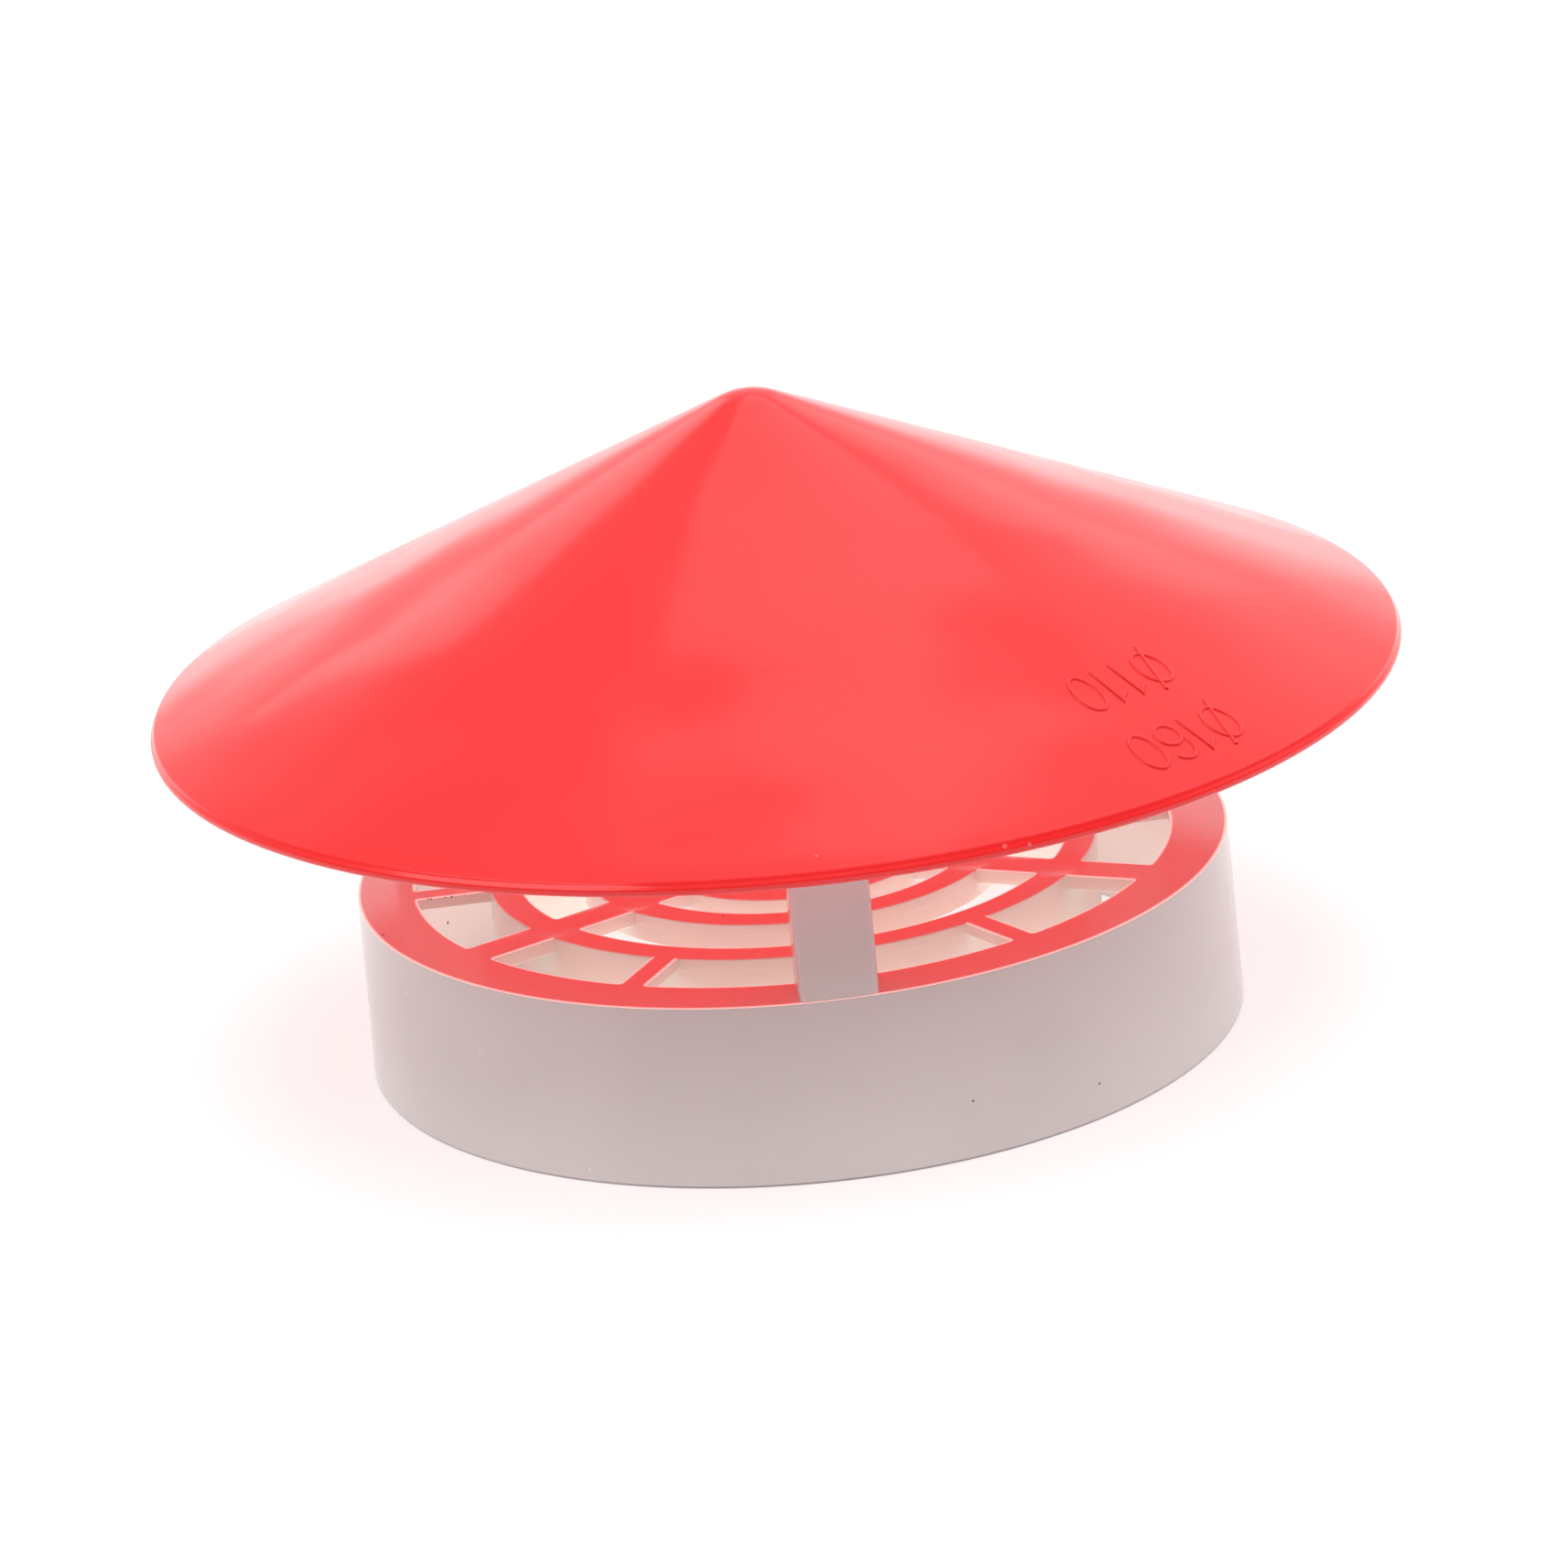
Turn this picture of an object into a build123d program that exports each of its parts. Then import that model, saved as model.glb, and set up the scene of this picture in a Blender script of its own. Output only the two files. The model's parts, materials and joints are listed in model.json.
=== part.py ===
from build123d import *
import os
from math import cos, radians, sin, tan

# Rain cap for a vent pipe, millimetres. +Z is up, and the origin is the centre of the collar's mouth.

# Pipes that the cap fits over, by their outside radius
large_pipe_radius = 80.0
small_pipe_radius = 55.0
pipe_clearance = 0.25

# Collar that slips over the large pipe
collar_height = 35.0
collar_wall = 3.3
collar_taper = 0.55
collar_land = 9.0
collar_top_bevel = 0.25
mouth_bevel = 0.4
mouth_chamfer = 0.8

# Inner socket for the small pipe, hung from the grille
socket_wall = 2.75
socket_recess = 12.0
socket_land = 16.0
socket_taper = 0.3

# Grille across the top of the collar
grille_thickness = 2.2
rim_band = 11.0
stop_lip = 3.25
inner_slot = 12.0
centre_slot = 7.0
ring_width = 6.0
ring_wall = 2.0
ring_wall_depth = 4.5
main_rib_width = 8.2
minor_rib_width = 5.0
minor_rib_turn = 30.0

# Hollow legs that carry the hood
leg_count = 3
front_leg_angle = -90.0
leg_width = 14.6
leg_wall = 3.4
leg_setback = 0.3
leg_edge_round = 1.2

# Conical hood
vent_gap = 34.6
hood_radius = 118.3
hood_slope = 25.33
hood_wall = 2.0
hood_tip_round = 14.0
rim_height = 2.4
rim_width = 2.5
rim_top_bevel = 0.85
rim_edge_bevel = 0.6

# Sockets under the hood that take the tops of the legs
boss_wall = 1.35
boss_corner_round = 2.0
boss_depth = 8.0
boss_ledge = 1.0
boss_headroom = 2.0
tongue_length = 6.0
seat_clearance = 0.15

# Collar and socket radii
large_bore = large_pipe_radius + pipe_clearance
collar_mouth_radius = large_bore + collar_wall
collar_top_radius = collar_mouth_radius - collar_taper
small_bore = small_pipe_radius + pipe_clearance
socket_radius = small_bore + socket_wall

# Grille radii, from the collar's edge to the centre
grille_underside = collar_height - grille_thickness
outer_slot_radius = collar_top_radius - rim_band
inner_slot_radius = small_bore - stop_lip
inner_ring_radius = inner_slot_radius - inner_slot
centre_slot_radius = inner_ring_radius - ring_width
centre_ring_radius = centre_slot_radius - centre_slot
centre_radius = centre_ring_radius - ring_width
rib_pitch = 360.0 / leg_count

# Leg plan, as it lies along +X before it is turned to its place
leg_outer = collar_top_radius - leg_setback
leg_inner = outer_slot_radius
leg_depth = leg_outer - leg_inner
leg_middle = (leg_outer + leg_inner) / 2
hollow_depth = leg_depth - 2 * leg_wall
hollow_width = leg_width - 2 * leg_wall

# Hood heights
slope = radians(hood_slope)
rim_z = collar_height + vent_gap
rim_top_z = rim_z + rim_height
apex_z = rim_top_z + hood_radius * tan(slope)
wall_drop = hood_wall / cos(slope)
boss_growth = seat_clearance + boss_wall


def underside_z(radius):
    """Height of the hood's underside at a radius."""
    return apex_z - wall_drop - radius * tan(slope)


leg_top_z = underside_z(leg_outer + boss_growth) - boss_headroom
boss_z = leg_top_z - boss_depth


def revolved(points):
    """Solid turned about Z from a closed outline of radius and height."""
    outline = Polyline(*points, close=True)
    return revolve(Plane.XZ * make_face(outline), Axis.Z)


def prism(sketch, low, high):
    """Upright solid over a flat sketch, between two heights."""
    return Pos(0, 0, low) * extrude(sketch, high - low)


def turned(shape, start):
    """Copies of a shape, one for each leg or main rib."""
    return [Rot(0, 0, start + rib_pitch * i) * shape for i in range(leg_count)]


def collar_body():
    """Skirt with its top plate, and a straight land inside its mouth."""
    plate_bore = collar_top_radius - collar_wall
    return revolved([
        (0, collar_height),
        (collar_top_radius - collar_top_bevel, collar_height),
        (collar_top_radius, collar_height - collar_top_bevel),
        (collar_mouth_radius, mouth_bevel),
        (collar_mouth_radius - mouth_bevel, 0),
        (large_bore + mouth_chamfer, 0),
        (large_bore, mouth_chamfer),
        (large_bore, collar_land),
        (plate_bore, grille_underside),
        (0, grille_underside),
    ])


def small_socket():
    """Inner pipe socket, straight at its mouth and drawn in towards the stop lip."""
    land_top = socket_recess + socket_land
    return revolved([
        (small_bore + mouth_chamfer, socket_recess),
        (socket_radius, socket_recess),
        (socket_radius, collar_height),
        (small_bore - socket_taper, collar_height),
        (small_bore - socket_taper, grille_underside),
        (small_bore, land_top),
        (small_bore, socket_recess + mouth_chamfer),
    ])


def ring_stiffener(radius):
    """Short wall under the outer edge of a grille ring."""
    wall = Circle(radius) - Circle(radius - ring_wall)
    return prism(wall, collar_height - ring_wall_depth, collar_height)


def rib(width):
    """Plan of one rib from the centre out along +X."""
    return Pos(collar_top_radius / 2, 0) * Rectangle(collar_top_radius, width)


def slot_row(outer_radius, inner_radius, ribs):
    """Openings of one ring of the grille, with the ribs left standing."""
    row = Circle(outer_radius)
    if inner_radius > 0:
        row -= Circle(inner_radius)
    return row - ribs


def grille_slots():
    """Every opening of the grille as one cutter."""
    first_main = front_leg_angle + rib_pitch / 2
    main = turned(rib(main_rib_width), first_main)
    minor = turned(rib(minor_rib_width), first_main - minor_rib_turn)
    minor += turned(rib(minor_rib_width), first_main + minor_rib_turn)
    rows = [
        slot_row(outer_slot_radius, socket_radius, main + minor),
        slot_row(inner_slot_radius, inner_ring_radius, main),
        slot_row(centre_slot_radius, centre_ring_radius, main),
        slot_row(centre_radius, 0, main),
    ]
    return [prism(row, grille_underside, collar_height) for row in rows]


def leg():
    """One leg along +X, its outer face following the collar."""
    outline = Pos(leg_middle, 0) * Rectangle(leg_depth, leg_width)
    outline &= Circle(leg_outer)
    outline = fillet(outline.vertices(), leg_edge_round)
    return prism(outline, grille_underside, leg_top_z)


def leg_hollow():
    """Core of one leg, open at both ends."""
    core = Pos(leg_middle, 0) * Rectangle(hollow_depth, hollow_width)
    return prism(core, grille_underside, leg_top_z)


def vent_base():
    """Collar, sockets, grille and legs, moulded in one piece."""
    body = collar_body() + small_socket()
    body += [ring_stiffener(inner_ring_radius), ring_stiffener(centre_ring_radius)]
    body -= grille_slots()
    body += turned(leg(), front_leg_angle)
    body -= turned(leg_hollow(), front_leg_angle)
    return body


def hood_shell():
    """Thin cone with a rounded tip and a rolled rim."""
    tip_z = apex_z - hood_tip_round / cos(slope)
    tip_bore = hood_tip_round - hood_wall
    lip_radius = hood_radius - rim_width

    def on_tip(radius, angle):
        return (radius * sin(angle), tip_z + radius * cos(angle))

    outside = ThreePointArc(
        on_tip(hood_tip_round, 0), on_tip(hood_tip_round, slope / 2), on_tip(hood_tip_round, slope)
    )
    inside = ThreePointArc(on_tip(tip_bore, slope), on_tip(tip_bore, slope / 2), on_tip(tip_bore, 0))
    edge = Polyline(
        outside @ 1,
        (hood_radius - rim_top_bevel * cos(slope), rim_top_z + rim_top_bevel * sin(slope)),
        (hood_radius, rim_top_z - rim_top_bevel),
        (hood_radius, rim_z + rim_edge_bevel),
        (hood_radius - rim_edge_bevel, rim_z),
        (lip_radius + rim_edge_bevel, rim_z),
        (lip_radius, rim_z + rim_edge_bevel),
        (lip_radius, underside_z(lip_radius)),
        inside @ 0,
    )
    axis = Line(inside @ 1, outside @ 0)
    profile = make_face([outside, edge, inside, axis])
    return revolve(Plane.XZ * profile, Axis.Z)


def boss_plan(growth, corner=0):
    """Leg's plan along +X, grown on every side, with its corners rounded where asked."""
    plan = Rectangle(leg_depth + 2 * growth, leg_width + 2 * growth)
    if corner > 0:
        plan = fillet(plan.vertices(), corner)
    return Pos(leg_middle, 0) * plan


def leg_socket():
    """Stepped socket for one leg, with the tongue that enters the leg's hollow."""
    boss = prism(boss_plan(boss_growth, boss_corner_round), boss_z, apex_z)
    boss -= prism(boss_plan(seat_clearance), boss_z, leg_top_z)
    boss -= prism(boss_plan(-boss_ledge), leg_top_z, apex_z)
    tongue = Pos(leg_middle, 0) * Rectangle(
        hollow_depth - 2 * seat_clearance, hollow_width - 2 * seat_clearance
    )
    boss += prism(tongue, leg_top_z - tongue_length, apex_z)
    return boss


def under_hood():
    """Space under the hood, up to the middle of its wall."""
    ceiling = apex_z - wall_drop / 2
    reach = hood_radius - rim_width
    return revolved([(0, rim_z), (reach, rim_z), (reach, ceiling - reach * tan(slope)), (0, ceiling)])


def rain_hood():
    """Cone with its leg sockets, moulded in one piece."""
    bosses = leg_socket() & under_hood()
    return hood_shell() + turned(bosses, front_leg_angle)


os.makedirs("parts", exist_ok=True)
export_step(vent_base(), "parts/vent_base.step")
export_step(rain_hood(), "parts/rain_hood.step")
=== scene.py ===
import json
from math import asin, ceil, cos, exp, pi, radians, sin, sqrt, tan

import bmesh
import bpy
from bpy.props import FloatProperty, FloatVectorProperty, IntProperty, PointerProperty
from mathutils import Matrix, Vector
from mathutils.geometry import delaunay_2d_cdt


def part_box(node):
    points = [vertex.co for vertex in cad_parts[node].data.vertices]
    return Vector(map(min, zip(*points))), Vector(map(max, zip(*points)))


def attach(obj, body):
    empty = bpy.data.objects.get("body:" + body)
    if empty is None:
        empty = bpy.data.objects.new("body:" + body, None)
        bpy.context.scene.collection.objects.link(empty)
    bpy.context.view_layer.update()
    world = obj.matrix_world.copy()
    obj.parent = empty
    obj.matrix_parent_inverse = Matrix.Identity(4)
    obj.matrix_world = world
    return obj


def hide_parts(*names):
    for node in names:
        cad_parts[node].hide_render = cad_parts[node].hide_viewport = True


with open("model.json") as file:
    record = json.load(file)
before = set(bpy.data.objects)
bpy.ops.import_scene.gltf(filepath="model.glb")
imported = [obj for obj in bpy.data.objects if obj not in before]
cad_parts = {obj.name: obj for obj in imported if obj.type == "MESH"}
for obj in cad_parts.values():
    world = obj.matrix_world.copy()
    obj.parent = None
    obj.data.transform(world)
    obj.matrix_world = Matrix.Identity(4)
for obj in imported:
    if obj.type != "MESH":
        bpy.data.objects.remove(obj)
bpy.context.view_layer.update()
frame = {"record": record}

bl_info = {
    "name": "Vent rain cap",
    "version": (1, 0, 0),
    "blender": (4, 5, 0),
    "location": "View3D > Sidebar > Rain Cap",
    "description": "Dresses a two-piece plastic rain cap for a vent pipe",
    "category": "Object",
}

MM = 0.001
BODY = "root"
HOOD_SLOT = "hood_plastic"
BASE_SLOT = "base_plastic"

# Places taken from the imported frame
HOOD_LOW, HOOD_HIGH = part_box("rain_hood")
BASE_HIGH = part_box("vent_base")[1]
LEG_COUNT = 3
FIRST_LEG = radians(-90)
LEG_TURNS = [FIRST_LEG + 2 * pi * i / LEG_COUNT for i in range(LEG_COUNT)]

# Signs of a rectangle's corners, in order round it
CORNERS = ((1, 1), (-1, 1), (-1, -1), (1, -1))

# Gaps that count as closed in the turned and the flat meshes, sides of a bead, and angle of a sharp edge
MERGE_GAP = MM / 1000
FLAT_GAP = MM * 1e-4
BEAD_SIDES = 12
SHARP_ANGLE = radians(35)


def size_setting(about, size):
    """Setting for a length, given in millimetres."""
    return FloatProperty(description=about, default=size * MM, unit="LENGTH")


def turn_setting(about, turn):
    """Setting for an angle, given in degrees."""
    return FloatProperty(description=about, default=radians(turn), subtype="ANGLE")


def colour_setting(about, *rgb):
    """Setting for a colour."""
    return FloatVectorProperty(description=about, default=rgb, subtype="COLOR")


def level_setting(about, level):
    """Setting for a plain number, such as a level of light."""
    return FloatProperty(description=about, default=level)


class HoodSizes(bpy.types.PropertyGroup):
    """Sizes of the conical hood."""

    rim_radius: size_setting("Outside radius of the hood", HOOD_HIGH.x / MM)
    rim_height: size_setting("Height of the rim's upright edge", 2.4)
    rim_width: size_setting("Width of the rim's lower face", 2.5)
    rim_top_round: size_setting("Radius where the cone turns down", 0.6)
    rim_edge_round: size_setting("Radius of the rim's lower edges", 1.1)
    rim_lean: turn_setting("How far the rim leans back from upright over its fine step", 15)
    rim_step: size_setting("Distance of the upper bend's centre from the rim's outside", 1.2)
    step_lean: turn_setting("How far the rim leans back under its fine step", 50)
    slope: turn_setting("Fall of the cone from level", 25.33)
    wall: size_setting("Thickness of the cone", 2.0)
    tip_round: size_setting("Radius of the rounded tip", 14.0)
    segments: IntProperty(description="Steps round the hood", default=720, min=12)
    sink_depth: size_setting("Depth of the sink marks over the leg sockets", 0.025)


class SocketSizes(bpy.types.PropertyGroup):
    """Sizes of the leg sockets under the hood."""

    middle: size_setting("Radius at the middle of a leg", 77.35)
    depth: size_setting("Leg's size along the radius", 10.7)
    width: size_setting("Leg's size across the radius", 14.6)
    wall: size_setting("Wall of a socket", 1.35)
    clearance: size_setting("Room round the leg in its socket", 0.15)
    ledge: size_setting("Ledge that the leg's top seats on", 1.0)
    leg_top: size_setting("Height of the leg's top", BASE_HIGH.z / MM)
    reach: size_setting("How far a socket covers its leg", 8.0)
    corner: size_setting("Rounding of a socket's upright corners", 2.0)
    lip: size_setting("Bevel on a socket's lower edges", 0.3)
    inner_corner: size_setting("Rounding of the upright corners inside a socket", 0.3)
    tongue: size_setting("Length of the tongue that enters a leg", 6.0)


class BaseSizes(bpy.types.PropertyGroup):
    """Sizes of the moulded base."""

    height: size_setting("Height of the collar's top", 35.0)
    taper: size_setting("How much the collar narrows to its top", 0.55)
    land: size_setting("Straight length inside the collar's mouth", 9.0)
    plate: size_setting("Thickness of the grille", 2.2)
    rim_band: size_setting("Width of the band round the grille", 11.0)
    socket_wall: size_setting("Wall of the small pipe's socket", 2.75)
    socket_recess: size_setting("Height of the small socket's mouth", 12.0)
    stop_lip: size_setting("Lip that stops the small pipe", 3.25)
    inner_slot: size_setting("Width of the inner row of openings", 12.0)
    centre_slot: size_setting("Width of the next row of openings", 7.0)
    ring_width: size_setting("Width of the grille's inner rings", 6.0)
    ring_wall: size_setting("Thickness of the wall under a ring", 2.0)
    ring_depth: size_setting("Depth of the wall under a ring", 5.5)
    main_rib: size_setting("Width of a rib to the centre", 8.2)
    main_depth: size_setting("Depth of a rib to the centre", 2.9)
    minor_rib: size_setting("Width of a rib in the outer row", 5.0)
    minor_turn: turn_setting("Angle between a main and a minor rib", 30)
    leg_round: size_setting("Radius of a leg's upright edges", 1.2)
    leg_wall: size_setting("Wall of a hollow leg", 3.4)
    edge_round: size_setting("Radius on the openings' top edges", 0.3)
    # The base's painted edge glow lies on this strip
    edge_line: size_setting("Width of the light line beside an opening", 0.3)
    corner_round: size_setting("Radius in the openings' corners", 0.5)
    sink_depth: size_setting("Depth of the hollow where a rib crosses a ring", 0.18)
    sink_width: size_setting("Spread of the hollow where a rib crosses a ring", 4.3)


class MarkSizes(bpy.types.PropertyGroup):
    """Sizes of the raised pipe-size numbers."""

    stroke: size_setting("Width of a raised stroke", 0.95)
    height: size_setting("Rise of a stroke over the hood", 0.33)
    gap: size_setting("Space between two signs", 0.9)


class Finish(bpy.types.PropertyGroup):
    """Colours of the plastics, the floor and the lamps, with the painted red light and painted glows on the
    plastics.
    """

    hood_red: colour_setting("Colour of the hood", 0.97, 0.02, 0.022)
    base_white: colour_setting("Colour of the base", 0.80, 0.765, 0.75)
    # Painted red light: the base's top faces take this colour in place of the red light that the hood throws
    # on them
    glow_red: colour_setting("Base's colour under the hood's red light", 0.93, 0.72, 0.72)
    through_red: colour_setting("Light that comes through the hood", 1.0, 0.135, 0.14)
    collar_cream: colour_setting("Light that comes through the collar", 1.0, 0.87, 0.71)
    # Painted glow: emission colour and radiance on the base's edges, in place of light in the white plastic
    painted_edge_cream: colour_setting("Light that white plastic carries to its edges", 1.0, 0.72, 0.66)
    edge_glow: level_setting("Radiance of the light carried to the base's edges", 0.5)
    # Painted glow: emission that brightens the hood's rim
    painted_rim_glow: level_setting("Radiance of the light carried to the hood's rim", 0.17)
    nick_pink: colour_setting("Colour of small nicks on the rim", 0.98, 0.16, 0.15)
    speck_brown: colour_setting("Colour of dirt specks and burrs", 0.16, 0.07, 0.05)
    speck_pale: colour_setting("Colour of pale specks", 0.95, 0.93, 0.92)
    floor_white: colour_setting("Colour of the floor", 0.55, 0.55, 0.55)
    floor_glow: level_setting("Radiance that the camera sees on the floor near the cap", 0.65)


class StageSettings(bpy.types.PropertyGroup):
    """Camera and light."""

    azimuth: turn_setting("Camera's turn from the front leg", -4.2)
    elevation: turn_setting("Camera's tilt from level", 19.118)
    roll: turn_setting("Camera's turn about its own axis", 5.559)
    distance: size_setting("Camera to the point it aims at", 1495.6)
    aim_side: size_setting("Aim point, to the camera's right", -0.28)
    aim_height: size_setting("Aim point's height", 48.29)
    lens: level_setting("Focal length in millimetres", 180.963)
    ambient: level_setting("Level light from all round", 0.2)
    overhead: level_setting("Radiance of the overhead softbox", 1.85)
    front: level_setting("Radiance of the softbox over the camera", 2.4)
    near: level_setting("Radiance of the softbox close over the tip", 0.7)
    side: level_setting("Radiance of the side softboxes", 1.42)
    glow: level_setting("Radiance of the light inside the collar", 0.95)
    glow_radius: size_setting("Radius of the light inside the collar", 66.0)
    skirt_glow: level_setting("Radiance of the light through the collar's front", 0.7)
    through: level_setting("Radiance of the light through the hood", 0.27)
    left_panel: level_setting("Radiance of the panel behind on the left", 0.78)
    right_panel: level_setting("Radiance of the panel behind on the right", 0.4)
    left_strip: level_setting("Radiance of the left strip that only the gloss shows", 2.4)
    table: level_setting("Radiance of the lit table under the cap", 0.4)
    horizon: level_setting("Gloss level of the surround at the horizon", 1.5)
    wall: level_setting("Gloss level of the surround a little higher", 0.87)
    sky: level_setting("Gloss level of the surround higher up", 0.76)
    front_gloss: level_setting("Share of the surround's gloss level in front", 0.05)
    sky_lean: level_setting("How much lighter the sky is to the right", 0.42)


def settings(name):
    """One of the property groups on the scene."""
    return getattr(bpy.context.scene, "raincap_" + name)


# Node helpers


def node(tree, kind, inputs=None, **options):
    """A new node, with its options set and its inputs set or linked by name or number."""
    made = tree.nodes.new(kind)
    for name, value in options.items():
        setattr(made, name, value)
    for socket, value in (inputs or {}).items():
        if isinstance(value, bpy.types.NodeSocket):
            tree.links.new(value, made.inputs[socket])
        else:
            made.inputs[socket].default_value = value
    return made


def step(tree, kind, **inputs):
    """First output of a new geometry node, with its inputs by name."""
    named = {name.replace("_", " "): value for name, value in inputs.items()}
    return node(tree, "GeometryNode" + kind, named).outputs[0]


def calc(tree, operation, *values):
    """Result of a math node."""
    return node(tree, "ShaderNodeMath", dict(enumerate(values)), operation=operation).outputs[0]


def form_tree(name, **inputs):
    """A geometry tree with named inputs of given types, and its group input node."""
    tree = bpy.data.node_groups.new(name, "GeometryNodeTree")
    tree.interface.new_socket("Geometry", in_out="INPUT", socket_type="NodeSocketGeometry")
    for label, kind in inputs.items():
        tree.interface.new_socket(label.replace("_", " "), in_out="INPUT", socket_type="NodeSocket" + kind)
    tree.interface.new_socket("Material", in_out="INPUT", socket_type="NodeSocketMaterial")
    tree.interface.new_socket("Geometry", in_out="OUTPUT", socket_type="NodeSocketGeometry")
    return tree, tree.nodes.new("NodeGroupInput")


def end_tree(tree, start, geometry):
    """Ends a tree as a plain smooth mesh with its material."""
    real = step(tree, "RealizeInstances", Geometry=geometry)
    smooth = step(tree, "SetShadeSmooth", Geometry=real)
    painted = step(tree, "SetMaterial", Geometry=smooth, Material=start.outputs["Material"])
    node(tree, "NodeGroupOutput", {"Geometry": painted})


def grown(source, tree, name, **values):
    """Runs a tree on a source object and keeps the result as a plain mesh object."""
    modifier = source.modifiers.new(tree.name, "NODES")
    modifier.node_group = tree
    for item in tree.interface.items_tree:
        label = item.name.replace(" ", "_")
        if item.in_out == "INPUT" and label in values:
            modifier[item.identifier] = values[label]
    graph = bpy.context.evaluated_depsgraph_get()
    mesh = bpy.data.meshes.new_from_object(source.evaluated_get(graph))
    source.modifiers.remove(modifier)
    bpy.data.objects.remove(source)
    return shown(name, mesh)


def shown(name, data):
    """Links new data into the scene as an object."""
    piece = bpy.data.objects.new(name, data)
    bpy.context.scene.collection.objects.link(piece)
    return piece


def settle(piece, slot, *nodes):
    """Rides a finished piece on the body and hides the nodes that it stands for; its slot is not used."""
    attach(piece, BODY)
    if nodes:
        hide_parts(*nodes)


def line_mesh(name, points):
    """Object that holds an outline's points in order."""
    mesh = bpy.data.meshes.new(name)
    mesh.from_pydata(points, [(i, i + 1) for i in range(len(points) - 1)], [])
    return shown(name, mesh)


def lathe_tree():
    """Turns an outline of points in the XZ plane about Z, on a unit grid that runs from -0.5 to 0.5."""
    tree, start = form_tree("lathe", Segments="Int")
    outline = start.outputs["Geometry"]
    count = step(tree, "AttributeDomainSize", Geometry=outline)
    steps = calc(tree, "ADD", start.outputs["Segments"], 1)
    grid = step(tree, "MeshGrid", Size_X=1, Size_Y=1, Vertices_X=count, Vertices_Y=steps)
    place = step(tree, "InputPosition")
    across = node(tree, "ShaderNodeSeparateXYZ", {0: place}).outputs
    along = calc(tree, "ADD", across["X"], 0.5)
    row = calc(tree, "ROUND", calc(tree, "MULTIPLY", along, calc(tree, "SUBTRACT", count, 1)))
    point = node(
        tree, "GeometryNodeSampleIndex", {"Geometry": outline, "Value": place, "Index": row},
        data_type="FLOAT_VECTOR", domain="POINT"
    )
    turn = calc(tree, "MULTIPLY", calc(tree, "ADD", across["Y"], 0.5), 2 * pi)
    swung = {"Vector": point.outputs[0], "Angle": turn}
    swept = node(tree, "ShaderNodeVectorRotate", swung, rotation_type="Z_AXIS").outputs[0]
    placed = step(tree, "SetPosition", Geometry=grid, Position=swept)
    end_tree(tree, start, step(tree, "MergeByDistance", Geometry=placed, Distance=MERGE_GAP))
    return tree


def round_tree():
    """Sets copies of one form at even turns about Z."""
    tree, start = form_tree("turned_copies", Count="Int", First_angle="Float")
    points = step(tree, "Points", Count=start.outputs["Count"])
    pitch = calc(tree, "DIVIDE", 2 * pi, start.outputs["Count"])
    turn = calc(tree, "MULTIPLY", step(tree, "InputIndex"), pitch)
    turn = calc(tree, "ADD", turn, start.outputs["First angle"])
    spin = node(tree, "ShaderNodeCombineXYZ", {"Z": turn}).outputs[0]
    copied = start.outputs["Geometry"]
    end_tree(tree, start, step(tree, "InstanceOnPoints", Points=points, Instance=copied, Rotation=spin))
    return tree


def bead_tree():
    """Wraps flat strokes on the cone and raises them as round beads."""
    tree, start = form_tree(
        "beads_on_cone", Start_angle="Float", Base_radius="Float", Wrap_radius="Float", Apex="Float",
        Slope="Float", Bead_radius="Float"
    )
    flat = node(tree, "ShaderNodeSeparateXYZ", {0: step(tree, "InputPosition")}).outputs
    slope = start.outputs["Slope"]
    out = calc(tree, "MULTIPLY", flat["Y"], calc(tree, "COSINE", slope))
    radius = calc(tree, "ADD", start.outputs["Base radius"], out)
    turn = calc(tree, "DIVIDE", flat["X"], start.outputs["Wrap radius"])
    angle = calc(tree, "SUBTRACT", start.outputs["Start angle"], turn)
    fall = calc(tree, "MULTIPLY", radius, calc(tree, "TANGENT", slope))
    place = node(tree, "ShaderNodeCombineXYZ", {
        "X": calc(tree, "MULTIPLY", radius, calc(tree, "COSINE", angle)),
        "Y": calc(tree, "MULTIPLY", radius, calc(tree, "SINE", angle)),
        "Z": calc(tree, "SUBTRACT", start.outputs["Apex"], fall),
    }).outputs[0]
    wrapped = step(tree, "SetPosition", Geometry=start.outputs["Geometry"], Position=place)
    ring = step(tree, "CurvePrimitiveCircle", Resolution=BEAD_SIDES, Radius=start.outputs["Bead radius"])
    end_tree(tree, start, step(tree, "CurveToMesh", Curve=wrapped, Profile_Curve=ring, Fill_Caps=True))
    return tree


# Materials


def material(name):
    """A new node material, its tree and its shader."""
    made = bpy.data.materials.new(name)
    made.use_nodes = True
    return made, made.node_tree, made.node_tree.nodes["Principled BSDF"]


def noise(tree, vector, scale, detail):
    """Value of a noise texture."""
    inputs = {"Vector": vector, "Scale": scale, "Detail": detail}
    return node(tree, "ShaderNodeTexNoise", inputs).outputs[0]


def ramp(tree, value, low, high, bottom=0.0, top=1.0):
    """Smooth step of a value from one range to another."""
    return node(
        tree, "ShaderNodeMapRange",
        {"Value": value, "From Min": low, "From Max": high, "To Min": bottom, "To Max": top},
        interpolation_type="SMOOTHSTEP"
    ).outputs[0]


def blend(tree, share, first, second):
    """Mix of two colours."""
    mixed = node(tree, "ShaderNodeMix", {"Factor": share, 6: first, 7: second}, data_type="RGBA")
    return mixed.outputs[2]


def solid(colour):
    """Colour with full alpha."""
    return (*colour, 1.0)


def shade(colour, factor):
    """Colour made lighter or darker."""
    return tuple(c * factor for c in colour) + (1.0,)


# Ranges of noise that the colour clouds and the mottled gloss spread over
CLOUD_RANGE = (0.35, 0.65)
MOTTLE_RANGE = (0.3, 0.7)


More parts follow.
